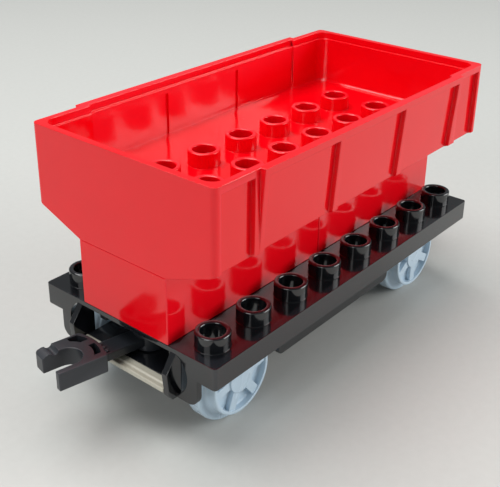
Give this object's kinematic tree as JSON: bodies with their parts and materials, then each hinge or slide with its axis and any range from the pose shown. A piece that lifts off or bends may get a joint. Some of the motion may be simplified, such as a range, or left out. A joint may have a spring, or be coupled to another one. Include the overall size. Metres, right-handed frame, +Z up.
{
  "type": "toy railway wagon with open hopper",
  "caption": "Toy railway goods wagon: studded chassis on spoked flanged wheels, hook coupling, stacked bricks carrying an open-topped hopper.",
  "frame": {"origin": "on the ground under the middle of the deck", "axes": "+X along the wagon away from the hook end, +Y across it, +Z up"},
  "size_m": [0.1707, 0.067, 0.0777],
  "materials": {
    "black_plastic": "gloss moulded",
    "hook_plastic": "semi-gloss moulded",
    "bar_plastic": "satin moulded",
    "wheel_plastic": "gloss moulded",
    "red_plastic": "high gloss moulded",
    "axle_steel": "drawn rod"
  },
  "bodies": {
    "chassis": {"chassis": "black_plastic", "front_keeper": "black_plastic", "rear_keeper": "black_plastic", "front_end_bar": "bar_plastic", "rear_end_bar": "bar_plastic"},
    "front_wheelset": {"front_axle": "axle_steel", "front_wheel_left": "wheel_plastic", "front_wheel_right": "wheel_plastic"},
    "rear_wheelset": {"rear_axle": "axle_steel", "rear_wheel_left": "wheel_plastic", "rear_wheel_right": "wheel_plastic"},
    "hook": {"hook": "hook_plastic"},
    "drawbar": {"rear_drawbar": "hook_plastic"},
    "brick_layer": {"brick_front": "red_plastic", "brick_rear": "red_plastic"},
    "hopper": {"hopper": "red_plastic"}
  },
  "joints": [
    {"name": "front_wheels_roll", "type": "hinge", "parent": "chassis", "child": "front_wheelset", "pos_m": [-0.0451, 0, 0.0139], "axis": [0, 1, 0], "continuous": true},
    {"name": "rear_wheels_roll", "type": "hinge", "parent": "chassis", "child": "rear_wheelset", "pos_m": [0.0451, 0, 0.0139], "axis": [0, 1, 0], "continuous": true},
    {"name": "hook_swivel", "type": "hinge", "parent": "chassis", "child": "hook", "pos_m": [-0.055, 0, 0.0225], "axis": [0, 0, 1], "range_deg": [-13.3, 36.7]},
    {"name": "drawbar_swivel", "type": "hinge", "parent": "chassis", "child": "drawbar", "pos_m": [0.055, 0, 0.0225], "axis": [0, 0, 1], "range_deg": [-25, 25]},
    {"name": "bricks_lift_off", "type": "slide", "parent": "chassis", "child": "brick_layer", "axis": [0, 0, 1], "range_m": [0, 0.03]},
    {"name": "hopper_lifts_off", "type": "slide", "parent": "brick_layer", "child": "hopper", "axis": [0, 0, 1], "range_m": [0, 0.03]}
  ]
}
